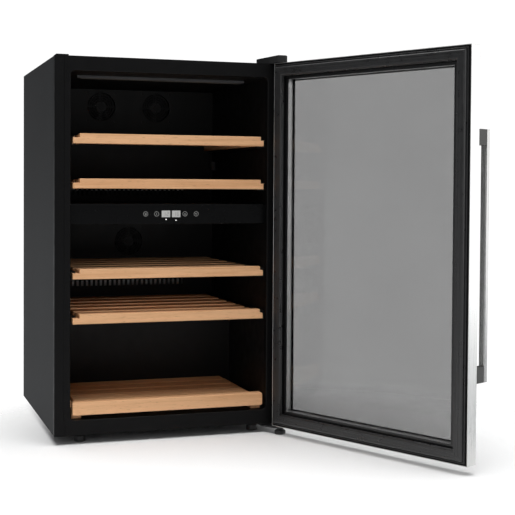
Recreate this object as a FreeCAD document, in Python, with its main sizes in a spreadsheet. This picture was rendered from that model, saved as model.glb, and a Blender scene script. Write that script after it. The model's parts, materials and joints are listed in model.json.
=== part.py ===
"""Free-standing two-zone wine cooler, door open, as a parametric document.

Frame: origin on the door's hinge axis at floor level, +X to the right, +Y to the back, +Z up.
The cabinet is drawn in cabinet coordinates (x from its left side, y from its front face,
z from its underside) and then placed. The door is drawn closed, about the hinge axis,
and then turned about that axis to where it stands.
"""

import FreeCAD, Part
import Sketcher
import os
import re

SIZES = {
    # cabinet
    "cab_width": 523,
    "cab_height": 820,
    "cab_depth": 500,
    "foot_height": 20,
    "hinge_inset": 13,
    "hinge_forward": 22,
    "sheet_steel": 1,
    "frame_depth": 14,
    "rim_side": 35,
    "rim_hinge_side": 40,
    "rim_top": 32,
    "rim_bottom": 33,
    "rim_radius": 10,
    "rim_lip_radius": 2.5,
    "base_height": 16,
    "tray_wall": 1.5,
    "nut_boss_radius": 9,
    "screw_radius": 2.5,
    "screw_head_radius": 4.5,
    "screw_head_height": 2.4,
    # cavity
    "liner_wall": 2,
    "cavity_depth": 472,
    "step_height": 232,
    "step_depth": 290,
    "foam_thick": 31,
    # ducts, fans
    "duct_depth": 30,
    "cover_wall": 2.5,
    "lower_cover_bottom": 262,
    "fan_size": 80,
    "fan_depth": 20,
    "fan_offset": 72,
    "upper_fan_height": 743,
    "lower_fan_height": 398,
    "rotor_radius": 36,
    "comb_pitch": 12,
    "comb_slot": 6,
    "comb_height": 14,
    # divider and controls
    "divider_bottom": 459,
    "divider_height": 40,
    "fascia_bottom": 457,
    "fascia_height": 44.5,
    "fascia_front": 13,
    "fascia_thick": 3,
    "display_width": 19.5,
    "display_height": 14.7,
    "display_gap": 4,
    "display_bottom": 472,
    # light
    "light_length": 377,
    "light_front": 94,
    "light_depth": 16,
    # shelves
    "shelf_left": 40,
    "shelf_width": 435,
    "shelf_gap": 3,
    "runner_ledge": 9,
    "shelf_depth": 405,
    "trim_height": 21.5,
    "trim_thick": 18,
    "trim_front": 1,
    "notch_width": 15,
    "notch_right": 7,
    "notch_drop": 9,
    "rail_width": 22,
    "rail_height": 11.6,
    "slat_thick": 7,
    "slat_width": 44,
    "shelf_1_height": 632.5,
    "shelf_2_height": 535,
    "shelf_3_height": 338.5,
    "shelf_4_height": 241,
    "bottom_shelf_height": 43,
    "bottom_trim_height": 28.5,
    "bottom_shelf_depth": 285,
    # machine space
    "compressor_x": 150,
    "compressor_back": 86,
    "pot_seat": 11.5,
    "pot_plate": 3,
    "pot_plate_width": 160,
    "pot_plate_depth": 110,
    "pot_radius": 68,
    "pot_height": 128,
    "pot_round": 38,
    "stub_radius": 4,
    "mount_radius": 9,
    "mount_side": 68,
    "mount_depth": 43,
    "relay_width": 40,
    "relay_bottom": 24,
    "relay_top": 84,
    "relay_depth": 44,
    "condenser_left": 300,
    "condenser_gap": 24,
    "fin_pitch": 11,
    "fin_thick": 1.2,
    "fin_depth": 110,
    "fin_bottom": 20,
    "fin_height": 120,
    "tube_radius": 4,
    "tube_length": 184,
    "pan_size": 124,
    "pan_wall": 2,
    "pan_bottom": 146,
    "pan_height": 26,
    "inlet_left": 75,
    "inlet_right": 47,
    "inlet_bottom": 30,
    "inlet_top": 51,
    "inlet_flange": 5,
    "inlet_depth": 22,
    "grille_left": 40,
    "grille_slot_width": 22,
    "grille_slot_height": 6,
    "grille_slot_pitch": 22,
    "grille_bottom": 66,
    # feet
    "foot_radius": 12.5,
    "foot_inset": 61.5,
    "foot_front": 37,
    "foot_back": 455,
    "foot_travel": 6,
    "stud_radius": 4,
    "stud_clearance": 0.05,
    "hinge_stud_radius": 2.5,
    # door
    "door_width": 524,
    "door_height": 821,
    "door_drop": 2,
    "door_thick": 30,
    "door_gap": 9,
    "door_angle": 116.4,
    "skin_thick": 1.5,
    "skin_width": 40,
    "pane_inset": 24.5,
    "pane_thick": 4,
    "lip_depth": 4.5,
    "lip_inset": 32.5,
    "spacer_inset": 37.5,
    "gasket_inset": 5.5,
    "gasket_width": 25,
    "gasket_lip": 4,
    # handle
    "handle_length": 502,
    "handle_bottom": 175,
    "handle_width": 14,
    "handle_thick": 12,
    "handle_reach": 36,
    "handle_edge": 7,
    "handle_round": 3,
    "standoff_height": 32,
    # hinges
    "pin_radius": 4,
    "pin_length": 14,
    "bush_clearance": 0.05,
    "bush_radius": 6,
    "bush_flange": 9,
    "bracket_thick": 3,
    "hinge_drop": 7,
    "hinge_cover_height": 16,
}

FAN_BLADES = 7
GRILLE_RINGS = 5
COMB_SLOTS = 25
SHELVES = (1, 2, 3, 4)
SLATS = 6
BOTTOM_SLATS = 5
EVAPORATOR_CHANNELS = 5
CONDENSER_FINS = 16
GRILLE_ROWS = 5
GRILLE_COLUMNS = 13

doc = FreeCAD.newDocument("wine_cooler")
sheet = doc.addObject("Spreadsheet::Sheet", "Sheet")
for row, (alias, value) in enumerate(SIZES.items(), start=1):
    sheet.set(f"A{row}", alias)
    sheet.set(f"B{row}", str(value))
    sheet.setAlias(f"B{row}", alias)
doc.recompute()

NODES = []


def cells(formula):
    """The formula with each size's name pointing at its cell in the sheet."""
    return re.sub(r"[a-z][a-z0-9_]*", lambda m: "Sheet." + m[0] if m[0] in SIZES else m[0], str(formula))


def bind(item, prop, formula):
    item.setExpression(prop, cells(formula))


def bind_base(item, x, y, z):
    for axis, formula in zip("xyz", (x, y, z)):
        bind(item, f"Placement.Base.{axis}", formula)


# ---------------------------------------------------------------- where the pieces go


def node(item, label):
    item.Label = label
    NODES.append(item)
    return item


def in_cabinet(item, label):
    """A finished cabinet piece: its drawing origin goes to the cabinet's lower left front corner."""
    bind_base(item, "hinge_inset - cab_width", "hinge_forward", "foot_height")
    return node(item, label)


def on_door(item, label):
    """A finished door piece, turned about the hinge axis to where the door stands."""
    bind(item, "Placement.Rotation.Angle", "door_angle")
    return node(item, label)


def on_floor(item, label):
    """A piece drawn straight in the part's own frame."""
    return node(item, label)


# ---------------------------------------------------------------- primitives and booleans


def box(x, y, z, dx, dy, dz):
    item = doc.addObject("Part::Box", "Box")
    for prop, formula in (("Length", dx), ("Width", dy), ("Height", dz)):
        bind(item, prop, formula)
    bind_base(item, x, y, z)
    return item


def cylinder(x, y, z, radius, length, axis="z"):
    item = doc.addObject("Part::Cylinder", "Cylinder")
    bind(item, "Radius", radius)
    bind(item, "Height", length)
    turns = {
        "x": FreeCAD.Rotation(FreeCAD.Vector(0, 1, 0), 90),
        "y": FreeCAD.Rotation(FreeCAD.Vector(1, 0, 0), -90),
        "z": FreeCAD.Rotation(),
    }
    item.Placement = FreeCAD.Placement(FreeCAD.Vector(), turns[axis])
    bind_base(item, x, y, z)
    return item


def fuse(*items):
    item = doc.addObject("Part::MultiFuse", "Fuse")
    item.Shapes = list(items)
    return item


def cut(base, tool):
    item = doc.addObject("Part::Cut", "Cut")
    item.Base = base
    item.Tool = tool
    return item


def group(*items):
    """Separate solids that share one node."""
    item = doc.addObject("Part::Compound", "Group")
    item.Links = list(items)
    return item


# ---------------------------------------------------------------- PartDesign bodies

PLANES = {"front": "XZ_Plane", "top": "XY_Plane", "side": "YZ_Plane"}


def new_body(name):
    body = doc.addObject("PartDesign::Body", name)
    body.AllowCompound = True
    return body


def new_sketch(body, view, offset=0):
    """A sketch seen from the front, top or side, offset along +Y, +Z or +X."""
    sketch = body.newObject("Sketcher::SketchObject", "Sketch")
    plane = next(f for f in body.Origin.OriginFeatures if f.Role == PLANES[view])
    sketch.AttachmentSupport = [(plane, "")]
    sketch.MapMode = "FlatFace"
    sign = "-" if view == "front" else ""
    bind(sketch, "AttachmentOffset.Base.z", f"{sign}({offset})")
    return sketch


def hold_points(sketch, points, joins=()):
    """Adds the joins, and holds each (edge, end, x, y) at its place, bound to the sheet."""
    rules = list(joins)
    for edge, end, _, _ in points:
        rules.append(Sketcher.Constraint("DistanceX", -1, 1, edge, end, 1.0))
        rules.append(Sketcher.Constraint("DistanceY", -1, 1, edge, end, 1.0))
    first = sketch.ConstraintCount + len(joins)
    sketch.addConstraint(rules)
    for i, (_, _, x, y) in enumerate(points):
        bind(sketch, f"Constraints[{first + 2 * i}]", x)
        bind(sketch, f"Constraints[{first + 2 * i + 1}]", y)


def polygon(sketch, points):
    """A closed outline through points that are formulas."""
    count = len(points)
    first = sketch.GeometryCount
    turn = FreeCAD.Rotation(FreeCAD.Vector(0, 0, 1), 360.0 / count)
    spot = FreeCAD.Vector(100, 0, 0)
    lines = []
    for _ in points:
        after = turn.multVec(spot)
        lines.append(Part.LineSegment(spot, after))
        spot = after
    sketch.addGeometry(lines, False)
    edges = range(first, first + count)
    joins = [Sketcher.Constraint("Coincident", edges[i - 1], 2, edges[i], 1) for i in range(count)]
    hold_points(sketch, [(edge, 1, x, y) for edge, (x, y) in zip(edges, points)], joins)


def rectangle(sketch, x0, x1, y0, y1):
    polygon(sketch, [(x0, y0), (x1, y0), (x1, y1), (x0, y1)])


def circle(sketch, x, y, radius):
    edge = sketch.addGeometry(Part.Circle(FreeCAD.Vector(0, 0, 0), FreeCAD.Vector(0, 0, 1), 10.0), False)
    hold_points(sketch, [(edge, 3, x, y)])
    index = sketch.addConstraint(Sketcher.Constraint("Radius", edge, 10.0))
    bind(sketch, f"Constraints[{index}]", radius)


def rebuild(body, feature, sketch=None):
    for item in (sketch, feature, body):
        if item is not None:
            item.recompute()


def finish_feature(body, feature, sketch, grows):
    """Rebuilds the feature and makes sure that it added or removed material."""
    before = body.Shape.Volume if not body.Shape.isNull() else 0.0
    rebuild(body, feature, sketch)
    after = body.Shape.Volume
    if (after > before + 1e-6) != grows or abs(after - before) < 1e-6:
        raise RuntimeError(f"{body.Label} {feature.Name}: volume {before:.1f} to {after:.1f}")
    return feature


def pad(body, sketch, view, length):
    """Material from the sketch along +Y (front), +Z (top) or +X (side)."""
    feature = body.newObject("PartDesign::Pad", "Pad")
    feature.Profile = sketch
    feature.Reversed = view == "front"
    bind(feature, "Length", length)
    return finish_feature(body, feature, sketch, True)


def pocket(body, sketch, view, length):
    """A cut from the sketch along +Y (front), +Z (top) or +X (side)."""
    feature = body.newObject("PartDesign::Pocket", "Pocket")
    feature.Profile = sketch
    feature.Reversed = view != "front"
    bind(feature, "Length", length)
    return finish_feature(body, feature, sketch, False)


def revolve(body, sketch, line):
    feature = body.newObject("PartDesign::Revolution", "Revolution")
    feature.Profile = sketch
    feature.ReferenceAxis = (sketch, [line])
    return finish_feature(body, feature, sketch, True)


def edges_where(feature, test):
    return [f"Edge{i}" for i, edge in enumerate(feature.Shape.Edges, start=1) if test(edge)]


def dress(body, kind, feature, amount, test):
    """A Fillet or Chamfer on the feature's edges that pass the test."""
    names = edges_where(feature, test)
    if not names:
        raise RuntimeError(f"{body.Label}: no edge to dress")
    item = body.newObject(f"PartDesign::{kind}", kind)
    item.Base = (feature, names)
    bind(item, "Radius" if kind == "Fillet" else "Size", amount)
    rebuild(body, item)
    return item


def along(edge, axis):
    """Whether a straight edge runs along x, y or z."""
    if not isinstance(edge.Curve, Part.Line):
        return False
    way = edge.Curve.Direction
    return abs(abs(getattr(way, axis)) - 1) < 1e-6


def at(edge, axis, value):
    """Whether the whole edge lies at one x, y or z."""
    bounds = edge.BoundBox
    low, high = getattr(bounds, axis.upper() + "Min"), getattr(bounds, axis.upper() + "Max")
    return abs(low - value) < 1e-3 and abs(high - value) < 1e-3


def size(alias):
    return SIZES[alias]


RIM_RIGHT = "cab_width - rim_side"
MOUTH_RIGHT = "cab_width - rim_hinge_side"
SHELF_RIGHT = "shelf_left + shelf_width"
RIM_CEILING = "cab_height - rim_top"
COVER_FRONT = "cavity_depth - duct_depth"


# ---------------------------------------------------------------- cabinet shell


def make_outer_wrap():
    body = new_body("OuterWrap")
    sketch = new_sketch(body, "front", "frame_depth")
    polygon(
        sketch,
        [
            ("0", "0"),
            ("0", "cab_height"),
            ("cab_width", "cab_height"),
            ("cab_width", "0"),
            ("cab_width - sheet_steel", "0"),
            ("cab_width - sheet_steel", "cab_height - sheet_steel"),
            ("sheet_steel", "cab_height - sheet_steel"),
            ("sheet_steel", "0"),
        ],
    )
    wrap = pad(body, sketch, "front", "cab_depth - frame_depth - sheet_steel")

    def corner(edge):
        return along(edge, "y") and at(edge, "z", size("cab_height"))

    dress(body, "Fillet", wrap, "sheet_steel * 2", corner)
    holes = new_sketch(body, "top", "cab_height - sheet_steel * 2")
    for x, y in TOP_SCREWS:
        circle(holes, x, y, "2.5")
    pocket(body, holes, "top", "sheet_steel * 3")
    return in_cabinet(body, "outer_wrap")


def make_back_panel():
    body = new_body("BackPanel")
    sketch = new_sketch(body, "front", "cab_depth - sheet_steel")
    rectangle(sketch, "0", "cab_width", "step_height - foam_thick + 2", "cab_height")
    panel = pad(body, sketch, "front", "sheet_steel")

    def upper_corner(edge):
        return along(edge, "y") and at(edge, "z", size("cab_height"))

    dress(body, "Fillet", panel, "sheet_steel * 2", upper_corner)
    return in_cabinet(body, "back_panel")


def make_base_tray():
    body = new_body("BaseTray")
    left = "sheet_steel"
    right = "cab_width - sheet_steel"
    back = "cab_depth - sheet_steel * 2"
    outline = new_sketch(body, "top", "0")
    rectangle(outline, left, right, "frame_depth", back)
    pad(body, outline, "top", "base_height")
    hollow = new_sketch(body, "top", "tray_wall")
    rectangle(
        hollow,
        f"{left} + tray_wall",
        f"{right} - tray_wall",
        "frame_depth + tray_wall",
        f"{back} - tray_wall",
    )
    pocket(body, hollow, "top", "base_height")
    nuts = new_sketch(body, "top", "1")
    for x, y in FOOT_PLACES:
        circle(nuts, x, y, "nut_boss_radius")
    pad(body, nuts, "top", "base_height - 2")
    threads = new_sketch(body, "top", "-1")
    for x, y in FOOT_PLACES:
        circle(threads, x, y, "stud_radius + stud_clearance")
    pocket(body, threads, "top", "base_height + 2")
    holes = new_sketch(body, "top", "-1")
    for x, y in BOTTOM_SCREWS:
        circle(holes, x, y, "screw_radius")
    pocket(body, holes, "top", "4")
    return in_cabinet(body, "base_tray")


def make_front_frame():
    body = new_body("FrontFrame")
    outline = new_sketch(body, "front", "0")
    rectangle(outline, "0", "cab_width", "0", "cab_height")
    pad(body, outline, "front", "frame_depth")
    mouth = new_sketch(body, "front", "-1")
    rectangle(mouth, "rim_side", MOUTH_RIGHT, "rim_bottom", RIM_CEILING)
    opened = pocket(body, mouth, "front", "frame_depth + 2")
    edge_band = 10

    def mouth_corner(edge):
        middle = edge.CenterOfMass
        across = edge_band < middle.x < size("cab_width") - edge_band
        up = edge_band < middle.z < size("cab_height") - edge_band
        return along(edge, "y") and across and up

    def mouth_lip(edge):
        inside = edge.BoundBox.XMin > 1 and edge.BoundBox.XMax < size("cab_width") - 1
        return at(edge, "y", 0) and inside

    rounded = dress(body, "Fillet", opened, "rim_radius", mouth_corner)
    dress(body, "Fillet", rounded, "rim_lip_radius", mouth_lip)
    grooves = new_sketch(body, "front", "-1")
    for side in ("20", "cab_width - 21.2"):
        rectangle(grooves, side, f"{side} + 1.2", "30", "cab_height - 1")
    for side in ("23", "cab_width - 24.2"):
        rectangle(grooves, side, f"{side} + 1.2", "1", "29")
    pocket(body, grooves, "front", "1.8")
    return in_cabinet(body, "front_frame")


def liner_outline(sketch, grow, front):
    """The cavity seen from the side: full depth above, stepped forward over the machine space."""
    polygon(
        sketch,
        [
            (front, f"rim_bottom - {grow}"),
            (f"step_depth + {grow}", f"rim_bottom - {grow}"),
            (f"step_depth + {grow}", f"step_height - {grow}"),
            (f"cavity_depth + {grow}", f"step_height - {grow}"),
            (f"cavity_depth + {grow}", f"{RIM_CEILING} + {grow}"),
            (front, f"{RIM_CEILING} + {grow}"),
        ],
    )


def make_inner_liner():
    body = new_body("InnerLiner")
    outside = new_sketch(body, "side", "rim_side - liner_wall")
    liner_outline(outside, "liner_wall", "frame_depth")
    pad(body, outside, "side", "cab_width - 2 * rim_side + 2 * liner_wall")
    inside = new_sketch(body, "side", "rim_side")
    liner_outline(inside, "0", "frame_depth - 1")
    pocket(body, inside, "side", "cab_width - 2 * rim_side")
    return in_cabinet(body, "inner_liner")


def make_foam():
    body = new_body("Foam")
    back = "cab_depth - sheet_steel"
    step_front = "step_depth + liner_wall + foam_thick"
    step_top = "step_height - liner_wall - foam_thick + 2"
    outside = new_sketch(body, "side", "sheet_steel")
    polygon(
        outside,
        [
            ("frame_depth", "base_height"),
            (step_front, "base_height"),
            (step_front, step_top),
            (back, step_top),
            (back, "cab_height - sheet_steel"),
            ("frame_depth", "cab_height - sheet_steel"),
        ],
    )
    block = pad(body, outside, "side", "cab_width - 2 * sheet_steel")

    def top_corner(edge):
        return along(edge, "y") and edge.CenterOfMass.z > size("cab_height") - 2

    dress(body, "Fillet", block, "sheet_steel", top_corner)
    inside = new_sketch(body, "side", "rim_side - liner_wall")
    liner_outline(inside, "liner_wall", "frame_depth - 1")
    pocket(body, inside, "side", "cab_width - 2 * rim_side + 2 * liner_wall")
    return in_cabinet(body, "foam_insulation")


def make_machine_wall():
    """Folded sheet between the foam and the machine space."""
    body = new_body("MachineWall")
    front = "step_depth + liner_wall + foam_thick"
    top = "step_height - liner_wall - foam_thick + 2"
    sketch = new_sketch(body, "side", "sheet_steel * 3")
    polygon(
        sketch,
        [
            (front, "1.5"),
            (f"{front} + sheet_steel", "1.5"),
            (f"{front} + sheet_steel", f"{top} - sheet_steel"),
            ("cab_depth - sheet_steel * 2", f"{top} - sheet_steel"),
            ("cab_depth - sheet_steel * 2", top),
            (front, top),
        ],
    )
    pad(body, sketch, "side", "cab_width - 6 * sheet_steel")
    return in_cabinet(body, "machine_wall")


def make_corner_cap():
    """Small plug on the top corner away from the hinge."""
    body = new_body("CornerCap")
    sketch = new_sketch(body, "top", "cab_height")
    rectangle(sketch, "3", "31", "1", "17")
    cap = pad(body, sketch, "top", "3")
    rounded = dress(body, "Fillet", cap, "3", lambda e: along(e, "z"))
    dress(body, "Fillet", rounded, "1", lambda e: at(e, "z", size("cab_height") + 3))
    return in_cabinet(body, "corner_cap")


# ---------------------------------------------------------------- air ducts and fans

FAN_PLACES = {
    "upper_left": ("cab_width / 2 - fan_offset", "upper_fan_height"),
    "upper_right": ("cab_width / 2 + fan_offset", "upper_fan_height"),
    "lower": ("cab_width / 2", "lower_fan_height"),
}
FAN_FRONT = f"{COVER_FRONT} + cover_wall"


def grille_slots(x, z):
    """Cutter for one round grille: concentric slots broken by straight spokes."""
    depth = "cover_wall + 4"
    start = f"{COVER_FRONT} - 2"
    rings = []
    for ring in range(GRILLE_RINGS):
        outer = f"{12 + 6 * ring}"
        disc = cylinder(x, start, z, outer, depth, "y")
        core = cylinder(x, start, z, f"{outer} - 3.4", depth, "y")
        rings.append(cut(disc, core))
    spokes = fuse(
        box(f"{x} - 40", f"{start} - 1", f"{z} - 1.5", "80", f"{depth} + 2", "3"),
        box(f"{x} - 1.5", f"{start} - 1", f"{z} - 40", "3", f"{depth} + 2", "80"),
    )
    return cut(fuse(*rings), spokes)


def comb_slots(z):
    """Cutter for the row of upright air slots along the foot of a cover."""
    first = f"cab_width / 2 - comb_pitch * {(COMB_SLOTS - 1) / 2} - comb_slot / 2"
    slots = []
    for i in range(COMB_SLOTS):
        left = f"{first} + comb_pitch * {i}"
        slots.append(box(left, f"{COVER_FRONT} - 2", z, "comb_slot", "cover_wall + 4", "comb_height"))
    return fuse(*slots)


def make_duct_cover(name, bottom, top, fans, comb_bottom):
    left = "rim_side + 1"
    wide = "cab_width - 2 * rim_side - 2"
    shell = box(left, COVER_FRONT, bottom, wide, "duct_depth", f"{top} - ({bottom})")
    hollow = box(
        f"{left} + cover_wall",
        FAN_FRONT,
        f"{bottom} + cover_wall",
        f"{wide} - 2 * cover_wall",
        "duct_depth",
        f"{top} - ({bottom}) - 2 * cover_wall",
    )
    grilles = [grille_slots(*FAN_PLACES[fan]) for fan in fans]
    tools = fuse(hollow, comb_slots(comb_bottom), *grilles)
    return in_cabinet(cut(shell, tools), name)


def make_fan_frames():
    """Square fan housings with a back hub on two struts."""
    frames = []
    for x, z in FAN_PLACES.values():
        left, foot = f"{x} - fan_size / 2", f"{z} - fan_size / 2"
        block = box(left, FAN_FRONT, foot, "fan_size", "fan_depth", "fan_size")
        bore = cylinder(x, f"{FAN_FRONT} - 1", z, "fan_size / 2 - 2.5", "fan_depth + 2", "y")
        back = f"{FAN_FRONT} + fan_depth - 3"
        hub = cylinder(x, back, z, "16", "3", "y")
        struts = [
            box(f"{x} - fan_size / 2 + 1", back, f"{z} - 1.5", "fan_size - 2", "3", "3"),
            box(f"{x} - 1.5", back, f"{z} - fan_size / 2 + 1", "3", "3", "fan_size - 2"),
        ]
        frames.append(fuse(cut(block, bore), hub, *struts))
    return in_cabinet(group(*frames), "fan_frames")


def make_fan_rotor(name, x, z):
    """Hub with swept blades, turning about a line along Y."""
    body = new_body("Rotor")
    hub = new_sketch(body, "front", "0")
    circle(hub, "0", "0", "15")
    pad(body, hub, "front", "13")
    blade = new_sketch(body, "top", "13")
    polygon(blade, [("-6", "1.5"), ("-4.2", "1.5"), ("6", "11.5"), ("4.2", "11.5")])
    vane = pad(body, blade, "top", "rotor_radius - 14")
    axis = next(f for f in body.Origin.OriginFeatures if f.Role == "Y_Axis")
    pattern = body.newObject("PartDesign::PolarPattern", "Blades")
    pattern.Originals = [vane]
    pattern.Axis = (axis, [""])
    pattern.Angle = 360
    pattern.Occurrences = FAN_BLADES
    body.Tip = pattern
    bind_base(
        body,
        f"hinge_inset - cab_width + {x}",
        f"hinge_forward + {FAN_FRONT} + 2",
        f"foot_height + {z}",
    )
    return node(body, name)


def make_cover_screws():
    """Pan heads of the screws that hold the fans and the covers."""
    heads = []
    reach = "35.75"
    for x, z in FAN_PLACES.values():
        for side in ("-", "+"):
            for level in ("-", "+"):
                heads.append((f"{x} {side} {reach}", f"{z} {level} {reach}"))
    for x in ("rim_side + 14", f"{RIM_RIGHT} - 14"):
        for z in ("divider_bottom + divider_height + 10", "lower_cover_bottom + 10"):
            heads.append((x, z))
    screws = [cylinder(x, f"{COVER_FRONT} - 1.2", z, "3.2", "1.2", "y") for x, z in heads]
    return in_cabinet(group(*screws), "cover_screws")


def make_evaporators():
    """Roll-bond plates with raised channels, one behind each cover."""
    plates = []
    back = "cavity_depth - 2"
    wide = "cab_width - 2 * rim_side"
    upper = ("divider_bottom + divider_height + 30", "150")
    lower = ("lower_cover_bottom + 12", "66")
    for bottom, tall in (upper, lower):
        parts = [box("rim_side + 20", back, bottom, f"{wide} - 40", "1.5", tall)]
        for i in range(EVAPORATOR_CHANNELS):
            level = f"{bottom} + {tall} * {(i + 0.5) / EVAPORATOR_CHANNELS}"
            channel = box("rim_side + 34", f"{back} - 2.5", level, f"{wide} - 68", "2.5", "5")
            parts.append(channel)
        plates.append(fuse(*parts))
    return in_cabinet(group(*plates), "evaporators")


def make_sensors():
    probes = []
    for z in ("divider_bottom + divider_height + 84", "lower_cover_bottom + 62"):
        clip = box(f"{RIM_RIGHT} - 10", f"{COVER_FRONT} - 24", z, "10", "16", "22")
        probes.append(clip)
    return in_cabinet(group(*probes), "temperature_sensors")


# ---------------------------------------------------------------- divider, controls and light


def make_divider():
    body = new_body("Divider")
    front = "fascia_front + fascia_thick"
    outline = new_sketch(body, "top", "divider_bottom")
    rectangle(outline, "rim_side + 1", f"{RIM_RIGHT} - 1", front, COVER_FRONT)
    pad(body, outline, "top", "divider_height")
    recess = new_sketch(body, "front", f"{front} - 1")
    rectangle(
        recess,
        "cab_width / 2 - 112",
        "cab_width / 2 + 112",
        "divider_bottom + 2",
        "divider_bottom + divider_height - 2",
    )
    pocket(body, recess, "front", "13")
    return in_cabinet(body, "zone_divider")


def display_left(side):
    offset = "- display_width - display_gap / 2" if side == "left" else "+ display_gap / 2"
    return f"cab_width / 2 {offset}"


def make_fascia():
    body = new_body("Fascia")
    outline = new_sketch(body, "front", "fascia_front")
    fascia_top = "fascia_bottom + fascia_height"
    rectangle(outline, "rim_side + 1", f"{MOUTH_RIGHT} - 1", "fascia_bottom", fascia_top)
    plate = pad(body, outline, "front", "fascia_thick")
    dress(body, "Fillet", plate, "1", lambda e: at(e, "y", size("fascia_front")))
    windows = new_sketch(body, "front", "fascia_front - 1")
    for side in ("left", "right"):
        x = display_left(side)
        rectangle(windows, x, f"{x} + display_width", "display_bottom", "display_bottom + display_height")
    pocket(body, windows, "front", "fascia_thick + 2")
    return in_cabinet(body, "control_fascia")


def make_displays():
    windows = []
    for side in ("left", "right"):
        window = box(
            display_left(side),
            "fascia_front + 0.3",
            "display_bottom",
            "display_width",
            "fascia_thick - 0.3",
            "display_height",
        )
        windows.append(window)
    return in_cabinet(group(*windows), "display_windows")


def make_control_board():
    board = "fascia_front + fascia_thick + 3"
    plate = box("cab_width / 2 - 100", board, "divider_bottom + 4", "200", "1.6", "divider_height - 8")
    chips = []
    for x in (-84, -42, 0, 54):
        left = f"cab_width / 2 + {x}"
        chips.append(box(left, f"{board} + 1.6", "divider_bottom + 12", "14", "2.4", "14"))
    pads = []
    for x in (-57.8, -32.9, 32.6, 58.5):
        left = f"cab_width / 2 + {x} - 5"
        pads.append(box(left, f"{board} - 1.2", "divider_bottom + 15", "10", "1.2", "10"))
    return in_cabinet(fuse(plate, *chips, *pads), "control_board")


def make_light():
    left = "cab_width / 2 - light_length / 2"
    ceiling = RIM_CEILING
    housing = box(f"{left} - 8", "light_front", f"{ceiling} - 6", "light_length + 16", "light_depth", "6")
    channel = box(left, "light_front + 2", f"{ceiling} - 7", "light_length", "light_depth - 4", "5")
    in_cabinet(cut(housing, channel), "light_housing")
    lens = new_body("LightLens")
    sketch = new_sketch(lens, "top", f"{ceiling} - 7.5")
    rectangle(sketch, left, f"{left} + light_length", "light_front + 2", "light_front + light_depth - 2")
    strip = pad(lens, sketch, "top", "4.5")
    dress(lens, "Chamfer", strip, "1.2", lambda e: at(e, "z", size("cab_height") - size("rim_top") - 7.5))
    return in_cabinet(lens, "light_diffuser")


# ---------------------------------------------------------------- shelves


def make_runners():
    """Channels on both side walls that the sliding shelves' rails run in."""
    body = new_body("Runners")
    sketch = new_sketch(body, "front", "trim_front + trim_thick + 1")
    sides = (
        ("rim_side", "shelf_left - shelf_gap", "shelf_left + runner_ledge"),
        (RIM_RIGHT, f"{SHELF_RIGHT} + shelf_gap", f"{SHELF_RIGHT} - runner_ledge"),
    )
    for i in SHELVES:
        foot = f"shelf_{i}_height"
        roof = f"{foot} + rail_height + 0.9"
        for wall, web, tip in sides:
            polygon(
                sketch,
                [
                    (wall, f"{foot} - 3"),
                    (tip, f"{foot} - 3"),
                    (tip, foot),
                    (web, foot),
                    (web, roof),
                    (tip, roof),
                    (tip, f"{roof} + 2.5"),
                    (wall, f"{roof} + 2.5"),
                ],
            )
    pad(body, sketch, "front", "shelf_depth - trim_thick + 6")
    return in_cabinet(body, "shelf_runners")


def make_trim(name, foot, tall, notched):
    """Front board of a shelf, with its upper corners notched on a sliding shelf."""
    body = new_body("Trim")
    left = "shelf_left"
    right = SHELF_RIGHT
    top = f"{foot} + {tall}"
    step = f"{top} - notch_drop"
    sketch = new_sketch(body, "front", "trim_front")
    if notched:
        points = [
            (left, foot),
            (right, foot),
            (right, step),
            (f"{right} - notch_right", step),
            (f"{right} - notch_right", top),
            (f"{left} + notch_width", top),
            (f"{left} + notch_width", step),
            (left, step),
        ]
    else:
        points = [(left, foot), (right, foot), (right, top), (left, top)]
    polygon(sketch, points)
    board = pad(body, sketch, "front", "trim_thick")
    if not notched:
        board = dress(body, "Fillet", board, "4", lambda e: along(e, "y"))
    dress(body, "Fillet", board, "1.2", lambda e: at(e, "y", size("trim_front")))
    return in_cabinet(body, name)


def make_rack(name, foot, depth, rail_tall, slats):
    """Side rails with cross slats on top, as separate solids behind the trim."""
    start = "trim_front + trim_thick"
    underside = f"{foot} + 0.4"
    long = f"{depth} - trim_thick"
    rails = []
    for left in ("shelf_left", f"{SHELF_RIGHT} - rail_width"):
        rails.append(box(left, start, underside, "rail_width", long, rail_tall))
    pitch = f"({long} - slat_width) / {slats - 1}"
    boards = []
    for i in range(slats):
        board = box(
            "shelf_left + notch_width",
            f"{start} + {pitch} * {i}",
            f"{underside} + {rail_tall}",
            "shelf_width - 2 * notch_width",
            "slat_width",
            "slat_thick",
        )
        boards.append(board)
    return in_cabinet(group(*rails, *boards), name)


# ---------------------------------------------------------------- machine space at the back

MACHINE_FRONT = "step_depth + liner_wall + foam_thick + sheet_steel"
INLET_LEFT = "cab_width - inlet_left"
INLET_RIGHT = "cab_width - inlet_right"
COMPRESSOR_Y = f"{MACHINE_FRONT} + compressor_back"


def make_compressor():
    """Domed steel pot on a foot plate, with two stub pipes."""
    body = new_body("Compressor")
    foot = new_sketch(body, "top", "pot_seat")
    half_width, half_depth = "pot_plate_width / 2", "pot_plate_depth / 2"
    rectangle(foot, f"-{half_width}", half_width, f"-{half_depth}", half_depth)
    plate = pad(body, foot, "top", "pot_plate")
    dress(body, "Fillet", plate, "8", lambda e: along(e, "z"))
    pot = new_sketch(body, "top", "pot_seat + pot_plate")
    circle(pot, "0", "0", "pot_radius")
    drum = pad(body, pot, "top", "pot_height")
    crown = size("pot_seat") + size("pot_plate") + size("pot_height")
    dress(body, "Fillet", drum, "pot_round", lambda e: at(e, "z", crown))
    stubs = new_sketch(body, "side", "50")
    circle(stubs, "-20", "60", "stub_radius")
    circle(stubs, "20", "74", "stub_radius")
    pad(body, stubs, "side", "34")
    left = f"hinge_inset - cab_width + compressor_x"
    bind_base(body, left, f"hinge_forward + {COMPRESSOR_Y}", "foot_height")
    return node(body, "compressor")


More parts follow.
